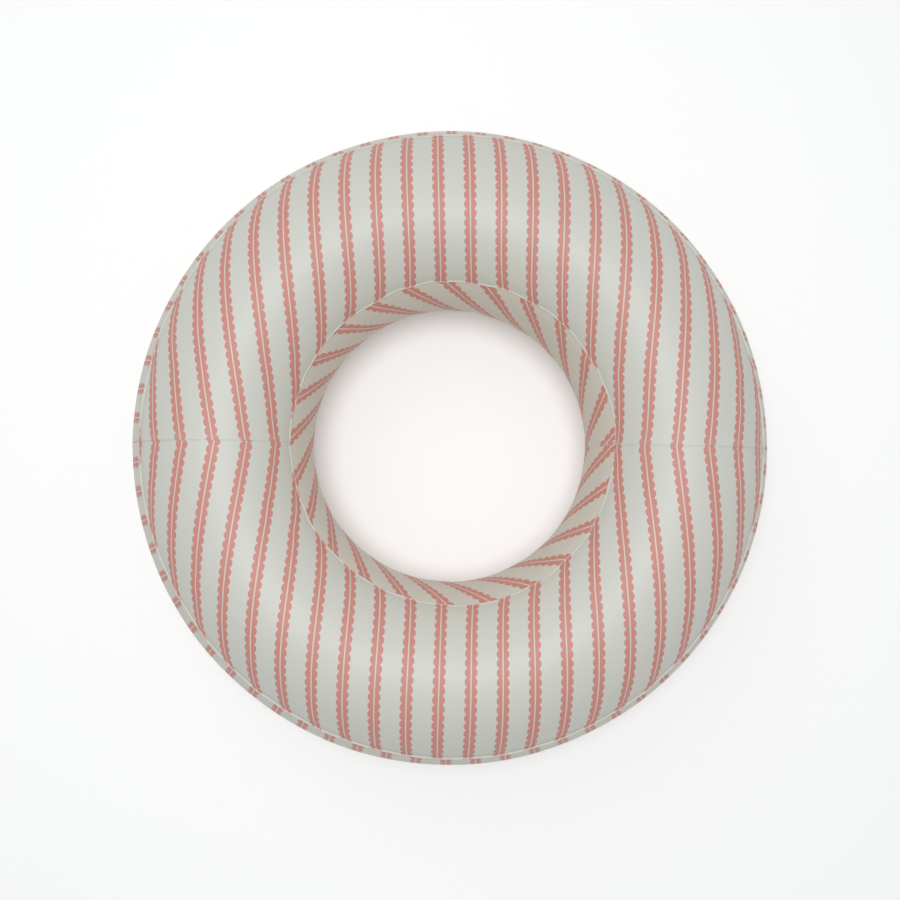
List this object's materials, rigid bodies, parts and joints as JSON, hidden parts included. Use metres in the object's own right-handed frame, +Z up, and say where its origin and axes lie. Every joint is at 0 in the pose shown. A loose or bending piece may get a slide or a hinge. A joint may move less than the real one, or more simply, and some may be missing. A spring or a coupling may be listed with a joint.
{
  "type": "inflatable pool float",
  "caption": "Ring-shaped inflatable pool float of welded striped film, with an open middle and a push-in air valve underneath.",
  "frame": {"origin": "ring's centre on the surface it rests on", "axes": "+Z up along the ring's axis, +X right and +Y back; the valve is underneath at the front, -Y"},
  "size_m": [0.7784, 0.7784, 0.2188],
  "materials": {
    "printed_film": "satin PVC film with a printed coral double stripe with scalloped edges",
    "soft_pvc": "satin, soft moulded PVC",
    "clear_pvc": "slightly cloudy flexible PVC"
  },
  "bodies": {
    "ring": {"top_panel_back": "printed_film", "top_panel_front": "printed_film", "bottom_panel_back": "printed_film", "bottom_panel_front": "printed_film", "outer_band_back": "printed_film", "outer_band_front": "printed_film", "inner_band": "printed_film", "valve_flange": "soft_pvc", "valve_web": "clear_pvc"},
    "stem": {"valve_stem": "soft_pvc", "valve_insert": "clear_pvc", "plug_strap": "soft_pvc"},
    "plug": {"valve_plug": "soft_pvc"},
    "flap": {"check_flap": "clear_pvc"}
  },
  "joints": [
    {"name": "valve_pull_out", "type": "slide", "parent": "ring", "child": "stem", "axis": [0, -0.7193, -0.6947], "range_m": [0, 0.0125], "deforming": ["valve_web"]},
    {"name": "plug_pull", "type": "slide", "parent": "stem", "child": "plug", "axis": [0, -0.7193, -0.6947], "range_m": [0, 0.0085], "deforming": ["plug_strap"]},
    {"name": "flap_open", "type": "hinge", "parent": "stem", "child": "flap", "pos_m": [-0.0035, -0.34819, 0.04297], "axis": [0, -0.6947, 0.7193], "range_deg": [0, 50], "stiffness_Nm_per_rad": 0.0002}
  ]
}
